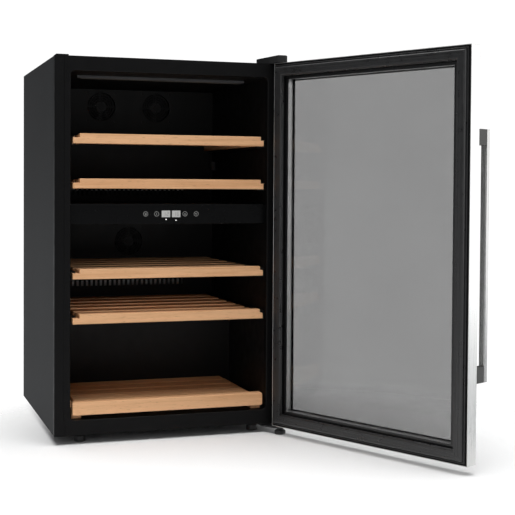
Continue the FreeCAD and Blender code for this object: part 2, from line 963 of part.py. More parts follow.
def make_compressor_mounts():
    """Rubber grommets between the compressor's plate and the base tray."""
    mounts = []
    tall = "pot_seat - tray_wall"
    for x in ("compressor_x - mount_side", "compressor_x + mount_side"):
        for y in (f"{COMPRESSOR_Y} - mount_depth", f"{COMPRESSOR_Y} + mount_depth"):
            mounts.append(cylinder(x, y, "tray_wall", "mount_radius", tall))
    return in_cabinet(group(*mounts), "compressor_mounts")


def make_relay_box():
    """Starter and relay housing clipped to the side of the pot."""
    body = new_body("RelayBox")
    sketch = new_sketch(body, "front", "0")
    rectangle(sketch, "0", "relay_bottom", "relay_width", "relay_top")
    block = pad(body, sketch, "front", "relay_depth")
    dress(body, "Fillet", block, "3", lambda e: along(e, "y"))
    bind_base(
        body,
        "hinge_inset - cab_width + compressor_x - pot_radius - 25",
        f"hinge_forward + {COMPRESSOR_Y} - relay_depth / 2",
        "foot_height",
    )
    return node(body, "relay_box")


def make_condenser():
    """Fin stack on two straight tube runs."""
    front = f"{MACHINE_FRONT} + condenser_gap"
    fins = []
    for i in range(CONDENSER_FINS):
        left = f"condenser_left + fin_pitch * {i}"
        fins.append(box(left, front, "fin_bottom", "fin_thick", "fin_depth", "fin_height"))
    tubes = []
    for y in (25, 85):
        for z in (45, 80, 115):
            start = "condenser_left - 8"
            tubes.append(cylinder(start, f"{front} + {y}", z, "tube_radius", "tube_length", "x"))
    feet = []
    for i in (0, CONDENSER_FINS - 1):
        left = f"condenser_left + fin_pitch * {i}"
        feet.append(box(left, f"{front} + 20", "tray_wall", "fin_thick", "70", "20"))
    return in_cabinet(fuse(*fins, *tubes, *feet), "condenser")


def make_drip_tray():
    """Open pan over the compressor, which dries the melt water."""
    x, y = "compressor_x - pan_size / 2", f"{COMPRESSOR_Y} - pan_size / 2"
    pan = box(x, y, "pan_bottom", "pan_size", "pan_size", "pan_height")
    inside = "pan_size - 2 * pan_wall"
    foot = "pan_bottom + pan_wall"
    hollow = box(f"{x} + pan_wall", f"{y} + pan_wall", foot, inside, inside, "pan_height")
    return in_cabinet(cut(pan, hollow), "drip_tray")


def make_back_grille():
    """Removable rear cover of the machine space, slotted for air, with an opening for the inlet."""
    body = new_body("BackGrille")
    outline = new_sketch(body, "front", "cab_depth - sheet_steel * 2")
    grille_top = "step_height - foam_thick"
    rectangle(outline, "sheet_steel + 1", "cab_width - sheet_steel - 1", "base_height + 1", grille_top)
    pad(body, outline, "front", "sheet_steel * 2")
    opening = new_sketch(body, "front", "cab_depth - sheet_steel * 3")
    rectangle(opening, INLET_LEFT, INLET_RIGHT, "inlet_bottom", "inlet_top")
    pocket(body, opening, "front", "sheet_steel * 4")
    column = new_sketch(body, "front", "cab_depth - sheet_steel * 3")
    for i in range(GRILLE_ROWS):
        low = f"grille_bottom + grille_slot_pitch * {i}"
        right = "grille_left + grille_slot_width"
        rectangle(column, "grille_left", right, low, f"{low} + grille_slot_height")
    slots = pocket(body, column, "front", "sheet_steel * 4")
    pattern = body.newObject("PartDesign::LinearPattern", "SlotColumns")
    pattern.Originals = [slots]
    pattern.Direction = (column, ["H_Axis"])
    bind(pattern, "Length", "cab_width - 2 * grille_left - grille_slot_width")
    pattern.Occurrences = GRILLE_COLUMNS
    body.Tip = pattern
    return in_cabinet(body, "back_grille")


def make_mains_inlet():
    """Recessed three-pin inlet for a removable lead."""
    body = new_body("MainsInlet")
    flange = new_sketch(body, "front", "cab_depth")
    rectangle(
        flange,
        f"{INLET_LEFT} - inlet_flange",
        f"{INLET_RIGHT} + inlet_flange",
        "inlet_bottom - 4",
        "inlet_top + 4",
    )
    pad(body, flange, "front", "1.5")
    shell = new_sketch(body, "front", "cab_depth - inlet_depth")
    rectangle(shell, INLET_LEFT, INLET_RIGHT, "inlet_bottom", "inlet_top")
    pad(body, shell, "front", "inlet_depth")
    socket = new_sketch(body, "front", "cab_depth - 16")
    low, high = "inlet_bottom + 2.5", "inlet_top - 2.5"
    rectangle(socket, f"{INLET_LEFT} + 2", f"{INLET_RIGHT} - 2", low, high)
    pocket(body, socket, "front", "20")
    pins = new_sketch(body, "front", "cab_depth - 17")
    for x, z in ((-68, 38), (-61, 43), (-54, 38)):
        rectangle(pins, f"cab_width + {x} - 1", f"cab_width + {x} + 1", f"{z} - 2", f"{z} + 2")
    pad(body, pins, "front", "14")
    return in_cabinet(body, "mains_inlet")


# ---------------------------------------------------------------- feet

FOOT_SIDES = ("foot_inset", "cab_width - foot_inset")
FOOT_PLACES = [(x, y) for x in FOOT_SIDES for y in ("foot_front", "foot_back")]
FOOT_NAMES = ("foot_front_left", "foot_back_left", "foot_front_right", "foot_back_right")


def foot_profile(sketch, top, radius, stud_top):
    """Half section: a wide pad, and a threaded stud that screws into the part above."""
    outline = [("0", "0"), ("foot_radius - 1", "0"), ("foot_radius", "1"), ("foot_radius", f"{top} - 2")]
    outline += [("foot_radius - 2", top), (radius, top), (radius, stud_top), ("0", stud_top)]
    polygon(sketch, outline)


def make_foot(name, x, y):
    body = new_body("Foot")
    sketch = new_sketch(body, "front", "0")
    foot_profile(sketch, "foot_height - foot_travel", "stud_radius", "foot_height + 9")
    revolve(body, sketch, "V_Axis")
    bind_base(body, f"hinge_inset - cab_width + {x}", f"hinge_forward + {y}", "0")
    return node(body, name)


def make_hinge_foot():
    body = new_body("HingeFoot")
    sketch = new_sketch(body, "front", "0")
    foot_profile(sketch, "foot_height - hinge_drop - 4", "hinge_stud_radius", "21")
    revolve(body, sketch, "V_Axis")
    return on_floor(body, "hinge_foot")


# ---------------------------------------------------------------- hinges

TOP_SCREWS = [("cab_width - 25", "18"), ("cab_width - 11", "18"), ("cab_width - 18", "46")]
BOTTOM_SCREWS = [("cab_width - 40", "50"), ("cab_width - 22", "50"), ("cab_width - 31", "26")]
CAB_TOP = "foot_height + cab_height"


def bracket_outline(sketch, reach):
    """A plate in plan: a wide tail on the cabinet, narrowing to a nose at the hinge axis."""
    polygon(
        sketch,
        [
            (f"hinge_inset - {reach}", "hinge_forward + 60"),
            (f"hinge_inset - {reach}", "hinge_forward + 8"),
            ("-12", "-5"),
            ("-6", "-11"),
            ("2", "-11"),
            ("7", "-6"),
            ("8", "8"),
            ("hinge_inset - 3", "hinge_forward + 8"),
            ("hinge_inset - 3", "hinge_forward + 60"),
        ],
    )


def make_bracket(name, plate_bottom, pin_bottom, screws, reach):
    body = new_body("Bracket")
    outline = new_sketch(body, "top", plate_bottom)
    bracket_outline(outline, reach)
    pad(body, outline, "top", "bracket_thick")
    pin = new_sketch(body, "top", pin_bottom)
    circle(pin, "0", "0", "pin_radius")
    pad(body, pin, "top", "pin_length")
    if name.startswith("lower"):
        packing = new_sketch(body, "top", f"{plate_bottom} + bracket_thick / 2")
        left, right = f"hinge_inset - {reach}", "hinge_inset - 3"
        rectangle(packing, left, right, "hinge_forward + 8", "hinge_forward + 60")
        pad(body, packing, "top", "hinge_drop - bracket_thick / 2")
    holes = new_sketch(body, "top", f"{plate_bottom} - 1")
    for x, y in screws:
        circle(holes, f"hinge_inset - cab_width + {x}", f"hinge_forward + {y}", "screw_radius")
    pocket(body, holes, "top", "hinge_drop + 2")
    if name.startswith("lower"):
        stud_bore = new_sketch(body, "top", f"{plate_bottom} - 1")
        circle(stud_bore, "0", "0", "hinge_stud_radius + stud_clearance")
        pocket(body, stud_bore, "top", "14")
    return on_floor(body, name)


def make_hinge_screws():
    """Pan-head screws through both brackets."""
    screws = []
    for x, y in TOP_SCREWS:
        long = "bracket_thick + sheet_steel"
        shank = cylinder(x, y, "cab_height - sheet_steel", "screw_radius", long)
        top = "cab_height + bracket_thick"
        head = cylinder(x, y, top, "screw_head_radius", "screw_head_height")
        screws.append(fuse(shank, head))
    for x, y in BOTTOM_SCREWS:
        shank = cylinder(x, y, "-hinge_drop", "screw_radius", "hinge_drop + tray_wall")
        low = "-hinge_drop - screw_head_height"
        head = cylinder(x, y, low, "screw_head_radius", "screw_head_height")
        screws.append(fuse(shank, head))
    return in_cabinet(group(*screws), "hinge_screws")


def make_hinge_cover():
    """Cap over the upper hinge plate, narrow at the front and wider towards the back."""
    body = new_body("HingeCover")

    def outline(sketch, inset):
        polygon(
            sketch,
            [
                (f"hinge_inset - 46 + {inset}", f"hinge_forward + 66 - {inset}"),
                (f"-15 + {inset}", f"-14 + {inset}"),
                (f"3 - {inset} * 0.4", f"-14 + {inset}"),
                (f"9 - {inset}", f"-7 + {inset} * 0.6"),
                (f"hinge_inset - 0.5 - {inset}", f"10 + {inset} * 0.3"),
                (f"hinge_inset - 0.5 - {inset}", f"hinge_forward + 66 - {inset}"),
            ],
        )

    outside = new_sketch(body, "top", CAB_TOP)
    outline(outside, "0")
    block = pad(body, outside, "top", "hinge_cover_height")
    corners = dress(body, "Fillet", block, "3", lambda e: along(e, "z"))
    top = size("foot_height") + size("cab_height") + size("hinge_cover_height")
    dress(body, "Fillet", corners, "1.5", lambda e: at(e, "z", top))
    inside = new_sketch(body, "top", f"{CAB_TOP} - 1")
    outline(inside, "2")
    pocket(body, inside, "top", "hinge_cover_height - 1")
    return on_floor(body, "upper_hinge_cover")


def make_bushes():
    """Flanged plastic sleeves that carry the door on the two pins."""
    bushes = []
    ends = (
        (DOOR_BOTTOM, f"{DOOR_BOTTOM} - 1.7", "1.7"),
        (f"{DOOR_TOP} - pin_length - 1", DOOR_TOP, "0.7"),
    )
    for sleeve, flange, flange_thick in ends:
        outside = cylinder("0", "0", sleeve, "bush_radius", "pin_length + 1")
        rim = cylinder("0", "0", flange, "bush_flange", flange_thick)
        bore = cylinder("0", "0", f"{sleeve} - 4", "pin_radius + bush_clearance", "pin_length + 10")
        bushes.append(cut(fuse(outside, rim), bore))
    return on_door(group(*bushes), "hinge_bushes")


# ---------------------------------------------------------------- door

DOOR_LEFT = "hinge_inset - door_width"
DOOR_BOTTOM = "foot_height - door_drop"
DOOR_TOP = "foot_height - door_drop + door_height"
INNER_PLANE = "hinge_forward - door_gap"
OUTER_PLANE = "hinge_forward - door_gap - door_thick"


def inset_rectangle(sketch, inset):
    """The door's outline, drawn in by an inset on every side."""
    rectangle(
        sketch,
        f"{DOOR_LEFT} + {inset}",
        f"hinge_inset - ({inset})",
        f"{DOOR_BOTTOM} + {inset}",
        f"{DOOR_TOP} - ({inset})",
    )


def ring(body, front, depth, outer, inner):
    """A rectangular ring between two insets, from a front plane backwards."""
    sketch = new_sketch(body, "front", front)
    inset_rectangle(sketch, outer)
    inset_rectangle(sketch, inner)
    return pad(body, sketch, "front", depth)


def bush_holes(body):
    """Bores for the two bushes, through the door's ends on the hinge axis."""
    for start in (f"{DOOR_BOTTOM} - 1", f"{DOOR_TOP} - pin_length - 1.2"):
        sketch = new_sketch(body, "top", start)
        circle(sketch, "0", "0", "bush_radius + 0.05")
        pocket(body, sketch, "top", "pin_length + 2.2")


def make_door_skin():
    """Stainless frame: a face 40 mm wide with its sides turned back."""
    body = new_body("DoorSkin")
    face = ring(body, OUTER_PLANE, "door_thick", "0", "skin_width")
    edge = size("hinge_forward") - size("door_gap") - size("door_thick")
    dress(body, "Fillet", face, "1", lambda e: at(e, "y", edge) and outer_door_edge(e))
    hollow = new_sketch(body, "front", f"{OUTER_PLANE} + skin_thick")
    inset_rectangle(hollow, "skin_thick")
    pocket(body, hollow, "front", "door_thick")
    bush_holes(body)
    return on_door(body, "door_skin")


def outer_door_edge(edge):
    """Whether an edge lies on the door's outline rather than on its window."""
    left = size("hinge_inset") - size("door_width")
    low = size("foot_height") - size("door_drop")
    middle = edge.CenterOfMass
    on_side = abs(middle.x - left) < 1 or abs(middle.x - size("hinge_inset")) < 1
    on_end = abs(middle.z - low) < 1 or abs(middle.z - low - size("door_height")) < 1
    return on_side or on_end


def make_door_inner_frame():
    body = new_body("DoorInnerFrame")
    deep = "door_thick - skin_thick - lip_depth"
    ring(body, f"{OUTER_PLANE} + skin_thick", deep, "skin_thick", "pane_inset")
    ring(body, f"{INNER_PLANE} - lip_depth", "lip_depth", "skin_thick", "lip_inset")
    bush_holes(body)
    return on_door(body, "door_inner_frame")


def make_gasket():
    """Magnetic seal: base, bellows waist, a soft outer lip and the magnet head."""
    body = new_body("Gasket")
    inside = "gasket_inset + gasket_width"
    ring(body, INNER_PLANE, "2", "gasket_inset", inside)
    ring(body, f"{INNER_PLANE} + 2", "2", "gasket_inset + gasket_lip", f"{inside} - gasket_lip")
    ring(body, f"{INNER_PLANE} + 4", "2.6", "gasket_inset", f"{inside} - gasket_lip")
    ring(body, f"{INNER_PLANE} + 4", "door_gap - 4.3", "gasket_inset + gasket_lip", inside)
    return on_door(body, "door_gasket")


def make_pane(name, front):
    body = new_body("Pane")
    sketch = new_sketch(body, "front", front)
    inset_rectangle(sketch, "pane_inset")
    pad(body, sketch, "front", "pane_thick")
    return on_door(body, name)


def make_spacer():
    body = new_body("Spacer")
    gap = "door_thick - skin_thick - lip_depth - 2 * pane_thick"
    ring(body, f"{OUTER_PLANE} + skin_thick + pane_thick", gap, "pane_inset + 0.5", "spacer_inset")
    return on_door(body, "pane_spacer")


def make_handle():
    """Square bar held off the door by a block at each end."""
    left = f"{DOOR_LEFT} + handle_edge"
    bar_front = f"{OUTER_PLANE} - handle_reach - handle_thick"
    bar = new_body("HandleBar")
    sketch = new_sketch(bar, "top", "handle_bottom")
    rectangle(sketch, left, f"{left} + handle_width", bar_front, f"{bar_front} + handle_thick")
    length = pad(bar, sketch, "top", "handle_length")
    dress(bar, "Fillet", length, "handle_round", lambda e: along(e, "z"))
    on_door(bar, "handle_bar")
    blocks = []
    bar_back = f"{OUTER_PLANE} - handle_reach"
    for bottom in ("handle_bottom", "handle_bottom + handle_length - standoff_height"):
        blocks.append(box(left, bar_back, bottom, "handle_width", "handle_reach", "standoff_height"))
    return on_door(group(*blocks), "handle_standoffs")


# ---------------------------------------------------------------- the whole cooler


def build():
    make_outer_wrap()
    make_back_panel()
    make_base_tray()
    make_front_frame()
    make_inner_liner()
    make_foam()
    make_machine_wall()
    make_corner_cap()

    upper_bottom = "divider_bottom + divider_height + 2"
    upper_fans = ("upper_left", "upper_right")
    make_duct_cover("upper_duct_cover", upper_bottom, f"{RIM_CEILING} - 1", upper_fans, "517")
    make_duct_cover("lower_duct_cover", "lower_cover_bottom", "divider_bottom - 1", ("lower",), "284")
    make_fan_frames()
    for place, (x, z) in FAN_PLACES.items():
        make_fan_rotor(f"fan_rotor_{place}", x, z)
    make_cover_screws()
    make_evaporators()
    make_sensors()

    make_divider()
    make_fascia()
    make_displays()
    make_control_board()
    make_light()

    make_runners()
    for i in SHELVES:
        make_trim(f"shelf_{i}_trim", f"shelf_{i}_height", "trim_height", True)
        make_rack(f"shelf_{i}_rack", f"shelf_{i}_height", "shelf_depth", "rail_height", SLATS)
    make_trim("bottom_shelf_trim", "bottom_shelf_height", "bottom_trim_height", False)
    make_rack("bottom_shelf_rack", "rim_bottom - 0.4", "bottom_shelf_depth", "24", BOTTOM_SLATS)

    make_compressor()
    make_compressor_mounts()
    make_relay_box()
    make_condenser()
    make_drip_tray()
    make_back_grille()
    make_mains_inlet()

    for name, (x, y) in zip(FOOT_NAMES, FOOT_PLACES):
        make_foot(name, x, y)
    make_hinge_foot()

    upper_pin = f"{CAB_TOP} - pin_length + bracket_thick / 2"
    make_bracket("upper_hinge_bracket", CAB_TOP, upper_pin, TOP_SCREWS, "33")
    lower_plate = "foot_height - hinge_drop"
    lower_pin = f"{lower_plate} + bracket_thick / 2"
    make_bracket("lower_hinge_bracket", lower_plate, lower_pin, BOTTOM_SCREWS, "48")
    make_hinge_screws()
    make_hinge_cover()

    make_door_skin()
    make_door_inner_frame()
    make_gasket()
    make_pane("outer_pane", f"{OUTER_PLANE} + skin_thick")
    make_pane("inner_pane", f"{INNER_PLANE} - lip_depth - pane_thick")
    make_spacer()
    make_handle()
    make_bushes()


def check_and_write():
    doc.recompute()
    failed = [item.Name for item in doc.Objects if "Invalid" in item.State or "Error" in item.State]
    if failed:
        raise RuntimeError(f"failed objects: {failed}")
    os.makedirs("parts", exist_ok=True)
    for item in NODES:
        shape = item.Shape
        if shape.isNull() or not shape.isValid():
            raise RuntimeError(f"{item.Label}: bad shape")
        shape.exportStep(os.path.join("parts", f"{item.Label}.step"))
    print(len(NODES), "nodes written")


build()
check_and_write()
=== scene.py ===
"""Looks of the wine cooler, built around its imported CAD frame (Blender 4.5).

Lengths are metres in the frame's axes. Pieces of the door are drawn with the
door closed, in millimetres about the hinge line, and then turned open.
"""

import json
import math

import bpy
from mathutils import Matrix, Vector


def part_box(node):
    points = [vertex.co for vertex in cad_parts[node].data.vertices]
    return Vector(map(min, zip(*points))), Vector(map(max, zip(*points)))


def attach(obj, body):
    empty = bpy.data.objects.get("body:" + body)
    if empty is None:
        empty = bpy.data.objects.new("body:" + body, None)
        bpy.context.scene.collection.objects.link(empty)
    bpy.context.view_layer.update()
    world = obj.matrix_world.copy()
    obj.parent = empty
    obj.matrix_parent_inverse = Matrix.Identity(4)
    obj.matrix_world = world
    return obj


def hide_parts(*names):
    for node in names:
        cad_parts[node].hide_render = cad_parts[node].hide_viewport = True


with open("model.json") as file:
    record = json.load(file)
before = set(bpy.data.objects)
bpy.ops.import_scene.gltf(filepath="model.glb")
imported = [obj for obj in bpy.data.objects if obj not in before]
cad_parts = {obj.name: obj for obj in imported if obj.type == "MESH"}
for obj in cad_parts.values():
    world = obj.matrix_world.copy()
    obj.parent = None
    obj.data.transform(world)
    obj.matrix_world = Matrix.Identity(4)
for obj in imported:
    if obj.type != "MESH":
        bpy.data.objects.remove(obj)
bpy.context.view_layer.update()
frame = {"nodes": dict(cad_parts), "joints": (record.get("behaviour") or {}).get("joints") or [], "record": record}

NODES = frame["nodes"]
SLOT_OF = {part["node"]: part["material_slot"] for part in frame["record"]["subparts"]}
MM = 0.001
HINGE = next(joint for joint in frame["joints"] if joint["name"] == "door_hinge")
DOOR_TURN = math.radians(-HINGE["range_deg"][0])
DOOR_OPEN = Matrix.Rotation(DOOR_TURN, 4, "Z")
FLAT_ANGLE = math.radians(32)


# ---------------------------------------------------------------- materials


class Paint:
    """A node material with the few node chains that the finishes share."""

    def __init__(self, name, turn=0.0):
        self.material = bpy.data.materials.new(name)
        self.material.use_nodes = True
        self.tree = self.material.node_tree
        self.shader = self.tree.nodes["Principled BSDF"]
        place = self.node("ShaderNodeTexCoord")
        self.place = place.outputs["Object"]
        if turn:
            mapping = self.node("ShaderNodeMapping")
            mapping.inputs["Rotation"].default_value[2] = turn
            self.link(self.place, mapping.inputs["Vector"])
            self.place = mapping.outputs["Vector"]

    def node(self, kind, **settings):
        made = self.tree.nodes.new(kind)
        for key, value in settings.items():
            setattr(made, key, value)
        return made

    def link(self, output, socket):
        self.tree.links.new(output, socket)

    def put(self, value, socket):
        if isinstance(value, (int, float, tuple)):
            socket.default_value = value
        else:
            self.link(value, socket)

    def stretched(self, stretch):
        mapping = self.node("ShaderNodeMapping")
        mapping.inputs["Scale"].default_value = stretch
        self.link(self.place, mapping.inputs["Vector"])
        return mapping.outputs["Vector"]

    def noise(self, scale, stretch=(1, 1, 1), detail=3.0, rough=0.55, warp=0.0):
        made = self.node("ShaderNodeTexNoise")
        self.link(self.stretched(stretch), made.inputs["Vector"])
        made.inputs["Scale"].default_value = scale
        made.inputs["Detail"].default_value = detail
        made.inputs["Roughness"].default_value = rough
        made.inputs["Distortion"].default_value = warp
        return made.outputs["Fac"]

    def cells(self, scale, stretch=(1, 1, 1), feature="F1", output="Distance"):
        made = self.node("ShaderNodeTexVoronoi", feature=feature)
        self.link(self.stretched(stretch), made.inputs["Vector"])
        made.inputs["Scale"].default_value = scale
        return made.outputs[output]

    def math(self, operation, first, second=0.0):
        made = self.node("ShaderNodeMath", operation=operation)
        self.put(first, made.inputs[0])
        self.put(second, made.inputs[1])
        return made.outputs[0]

    def spread(self, value, low, high, start=0.3, end=0.7):
        made = self.node("ShaderNodeMapRange")
        self.link(value, made.inputs["Value"])
        made.inputs["From Min"].default_value = start
        made.inputs["From Max"].default_value = end
        made.inputs["To Min"].default_value = low
        made.inputs["To Max"].default_value = high
        return made.outputs["Result"]

    def ramp(self, value, *stops):
        made = self.node("ShaderNodeValToRGB")
        self.link(value, made.inputs["Fac"])
        strip = made.color_ramp.elements
        while len(strip) < len(stops):
            strip.new(0.5)
        for element, (where, colour) in zip(strip, stops):
            element.position = where
            element.color = (*colour, 1)
        return made.outputs["Color"]

    def mix(self, share, first, second, blend="MIX"):
        made = self.node("ShaderNodeMix", data_type="RGBA", blend_type=blend)
        self.put(share, made.inputs["Factor"])
        for value, socket in ((first, made.inputs[6]), (second, made.inputs[7])):
            self.put((*value, 1) if isinstance(value, tuple) else value, socket)
        return made.outputs[2]

    def bump(self, height, depth, strength=1.0, under=None):
        made = self.node("ShaderNodeBump")
        made.inputs["Strength"].default_value = strength
        made.inputs["Distance"].default_value = depth
        self.link(height, made.inputs["Height"])
        if under is not None:
            self.link(under, made.inputs["Normal"])
        return made.outputs["Normal"]

    def finish(self, colour=None, rough=None, normal=None, **constants):
        ins = self.shader.inputs
        if colour is not None:
            self.put((*colour, 1) if isinstance(colour, tuple) else colour, ins["Base Color"])
        if rough is not None:
            self.put(rough, ins["Roughness"])
        if normal is not None:
            self.link(normal, ins["Normal"])
        for key, value in constants.items():
            ins[key.replace("_", " ")].default_value = value
        return self.material


def shade(colour, factor):
    return tuple(min(1.0, channel * factor) for channel in colour)


def moulded(name, colour, rough=0.45, grain=900, depth=0.00006, gloss=0.5):
    """Injection-moulded plastic: spark-eroded grain with faint flow marks."""
    paint = Paint(name)
    flow = paint.noise(7, (1, 1, 0.4), 4)
    grain_noise = paint.noise(grain, detail=2)
    tint = paint.ramp(flow, (0.3, shade(colour, 0.82)), (0.7, shade(colour, 1.18)))
    wear = paint.noise(45, detail=5)
    roughness = paint.spread(wear, rough - 0.06, rough + 0.07)
    normal = paint.bump(grain_noise, depth, 0.5)
    return paint.finish(tint, roughness, normal, **{"Specular IOR Level": gloss})


def coated_steel(name, colour, rough=0.5, gloss=0.3):
    """Powder-coated sheet: fine orange-peel pebble and a slow change of shade."""
    paint = Paint(name)
    slow = paint.noise(3.5, detail=3)
    pebble = paint.cells(1300, feature="SMOOTH_F1")
    peel = paint.noise(420, detail=2)
    tint = paint.ramp(slow, (0.3, shade(colour, 0.92)), (0.7, shade(colour, 1.08)))
    flecks = paint.spread(pebble, 0.9, 1.06, 0.1, 0.7)
    tint = paint.mix(1.0, tint, flecks, "MULTIPLY")
    roughness = paint.spread(peel, rough - 0.05, rough + 0.06)
    fine = paint.bump(pebble, 0.00008, 0.5)
    normal = paint.bump(peel, 0.0001, 0.35, fine)
    return paint.finish(tint, roughness, normal, **{"Specular IOR Level": gloss})


def galvanised(name, colour=(0.42, 0.43, 0.44)):
    """Zinc-coated sheet with spangle."""
    paint = Paint(name)
    spangle = paint.cells(95, output="Color")
    grey = paint.node("ShaderNodeRGBToBW")
    paint.link(spangle, grey.inputs["Color"])
    tint = paint.ramp(grey.outputs["Val"], (0.1, shade(colour, 0.8)), (0.9, shade(colour, 1.2)))
    roughness = paint.spread(grey.outputs["Val"], 0.34, 0.5, 0.1, 0.9)
    normal = paint.bump(paint.noise(160, detail=4), 0.00012, 0.4)
    return paint.finish(tint, roughness, normal, Metallic=0.9)


def brushed_steel(name, colour=(0.62, 0.62, 0.61), rough=0.3, turn=0.0, border=None):
    """Brushed metal with upright strokes. With a border they follow each side of a frame."""
    paint = Paint(name, turn)
    fine, coarse = 2600, 700

    def strokes(axis):
        thin = {"x": (0.012, 1, 1), "y": (1, 0.012, 1), "z": (1, 1, 0.012)}[axis]
        return paint.math(
            "ADD",
            paint.math("MULTIPLY", paint.noise(fine, thin, 2), 0.6),
            paint.math("MULTIPLY", paint.noise(coarse, thin, 2), 0.4),
        )

    lines = strokes("z")
    if border is not None:
        low, high = border
        split = paint.node("ShaderNodeSeparateXYZ")
        paint.link(paint.place, split.inputs["Vector"])

        def past(output, start, end):
            middle, half = (start + end) / 2, (end - start) / 2
            away = paint.math("ABSOLUTE", paint.math("SUBTRACT", output, middle))
            return paint.math("SUBTRACT", half, away)

        side = past(split.outputs["X"], low[0], high[0])
        rail = past(split.outputs["Z"], low[2], high[2])
        on_rail = paint.math("LESS_THAN", rail, side)
        across = strokes("x")
        lines = paint.math(
            "ADD",
            paint.math("MULTIPLY", across, on_rail),
            paint.math("MULTIPLY", lines, paint.math("SUBTRACT", 1.0, on_rail)),
        )
    smudge = paint.noise(9, detail=5)
    tint = paint.ramp(lines, (0.35, shade(colour, 0.9)), (0.65, shade(colour, 1.08)))
    base = paint.spread(lines, rough - 0.05, rough + 0.08, 0.35, 0.65)
    roughness = paint.math("ADD", base, paint.spread(smudge, -0.02, 0.05))
    normal = paint.bump(lines, 0.00004, 0.35)
    return paint.finish(tint, roughness, normal, Metallic=1.0)


BEECH_LIGHT = (0.84, 0.48, 0.25)
BEECH_DARK = (0.67, 0.345, 0.16)


def wood(name, along="x", shift=0.0):
    """Oiled beech: growth bands, short dark rays and pores along the board."""
    light, dark = BEECH_LIGHT, BEECH_DARK
    paint = Paint(name)
    stretch = {"x": (0.045, 1, 1), "y": (1, 0.045, 1)}[along]
    flecks = {"x": (0.16, 1, 1), "y": (1, 0.16, 1)}[along]
    move = paint.node("ShaderNodeVectorMath", operation="ADD")
    paint.link(paint.place, move.inputs[0])
    move.inputs[1].default_value = (shift, shift * 0.7, shift * 1.3)
    paint.place = move.outputs[0]
    bands = paint.noise(75, stretch, 5, 0.6, 0.6)
    fibres = paint.noise(900, stretch, 3)
    rays = paint.noise(420, flecks, 1)
    slow = paint.noise(5, (1, 1, 1), 2)
    tint = paint.ramp(bands, (0.32, dark), (0.5, shade(light, 0.93)), (0.68, light))
    tint = paint.mix(paint.spread(fibres, 0.0, 0.26, 0.45, 0.7), tint, shade(dark, 0.8))
    tint = paint.mix(paint.spread(rays, 0.0, 0.5, 0.64, 0.76), tint, shade(dark, 0.66))
    tint = paint.mix(paint.spread(slow, 0.0, 0.14), tint, shade(dark, 1.05))
    roughness = paint.spread(fibres, 0.42, 0.6)
    pores = paint.bump(rays, 0.00018, 0.35)
    normal = paint.bump(fibres, 0.00008, 0.4, pores)
    return paint.finish(tint, roughness, normal, **{"Specular IOR Level": 0.4})


def rubber(name, colour, rough=0.55):
    """Moulded rubber with a little dust."""
    paint = Paint(name)
    dust = paint.noise(60, detail=6)
    tint = paint.ramp(dust, (0.35, shade(colour, 0.85)), (0.75, shade(colour, 1.35)))
    roughness = paint.spread(dust, rough - 0.08, rough + 0.1)
    normal = paint.bump(paint.noise(1500, detail=2), 0.00005, 0.4)
    sheen = {"Specular IOR Level": 0.55, "Sheen Weight": 0.05}
    return paint.finish(tint, roughness, normal, **sheen)


def glow(name, colour, strength, rough=0.3, body=0.5):
    """A lit surface: frosted, with its own body colour under the light."""
    paint = Paint(name)
    even = paint.spread(paint.noise(260, detail=2), strength * 0.93, strength * 1.05)
    paint.put(even, paint.shader.inputs["Emission Strength"])
    paint.shader.inputs["Emission Color"].default_value = (*colour, 1)
    frost = paint.bump(paint.noise(1800, detail=1), 0.00003, 0.3)
    return paint.finish(shade(colour, body), rough, frost)


def printed(name, colour, rough=0.35):
    """Screen-printed or ceramic ink."""
    paint = Paint(name)
    mottle = paint.noise(1100, detail=3)
    tint = paint.ramp(mottle, (0.3, shade(colour, 0.9)), (0.7, shade(colour, 1.1)))
    roughness = paint.spread(mottle, rough - 0.05, rough + 0.05)
    return paint.finish(tint, roughness, paint.bump(mottle, 0.00002, 0.3))


def pane(name, tint):
    """Clear sealed-unit glass with a grey body tint, and a low index so that it reflects little."""
    paint = Paint(name)
    film = paint.noise(6, detail=4)
    colour = paint.ramp(film, (0.3, shade(tint, 0.99)), (0.7, shade(tint, 1.01)))
    rough = paint.spread(film, 0.0, 0.012)
    wave = paint.bump(paint.noise(2.2, detail=1), 0.00012, 0.04)
    glass = {"Transmission Weight": 1.0, "IOR": 1.2, "Specular IOR Level": 0.01}
    return paint.finish(colour, rough, wave, **glass)


def local_box(node):
    """Lowest and highest corner of a door node, with the door closed, in mm."""
    shut = DOOR_OPEN.inverted()
    spots = [shut @ vertex.co / MM for vertex in NODES[node].data.vertices]
    low = Vector([min(spot[i] for spot in spots) for i in range(3)])
    high = Vector([max(spot[i] for spot in spots) for i in range(3)])
    return low, high


SKIN_LOW, SKIN_HIGH = local_box("door_skin")
skin_border = ([value * MM for value in SKIN_LOW], [value * MM for value in SKIN_HIGH])

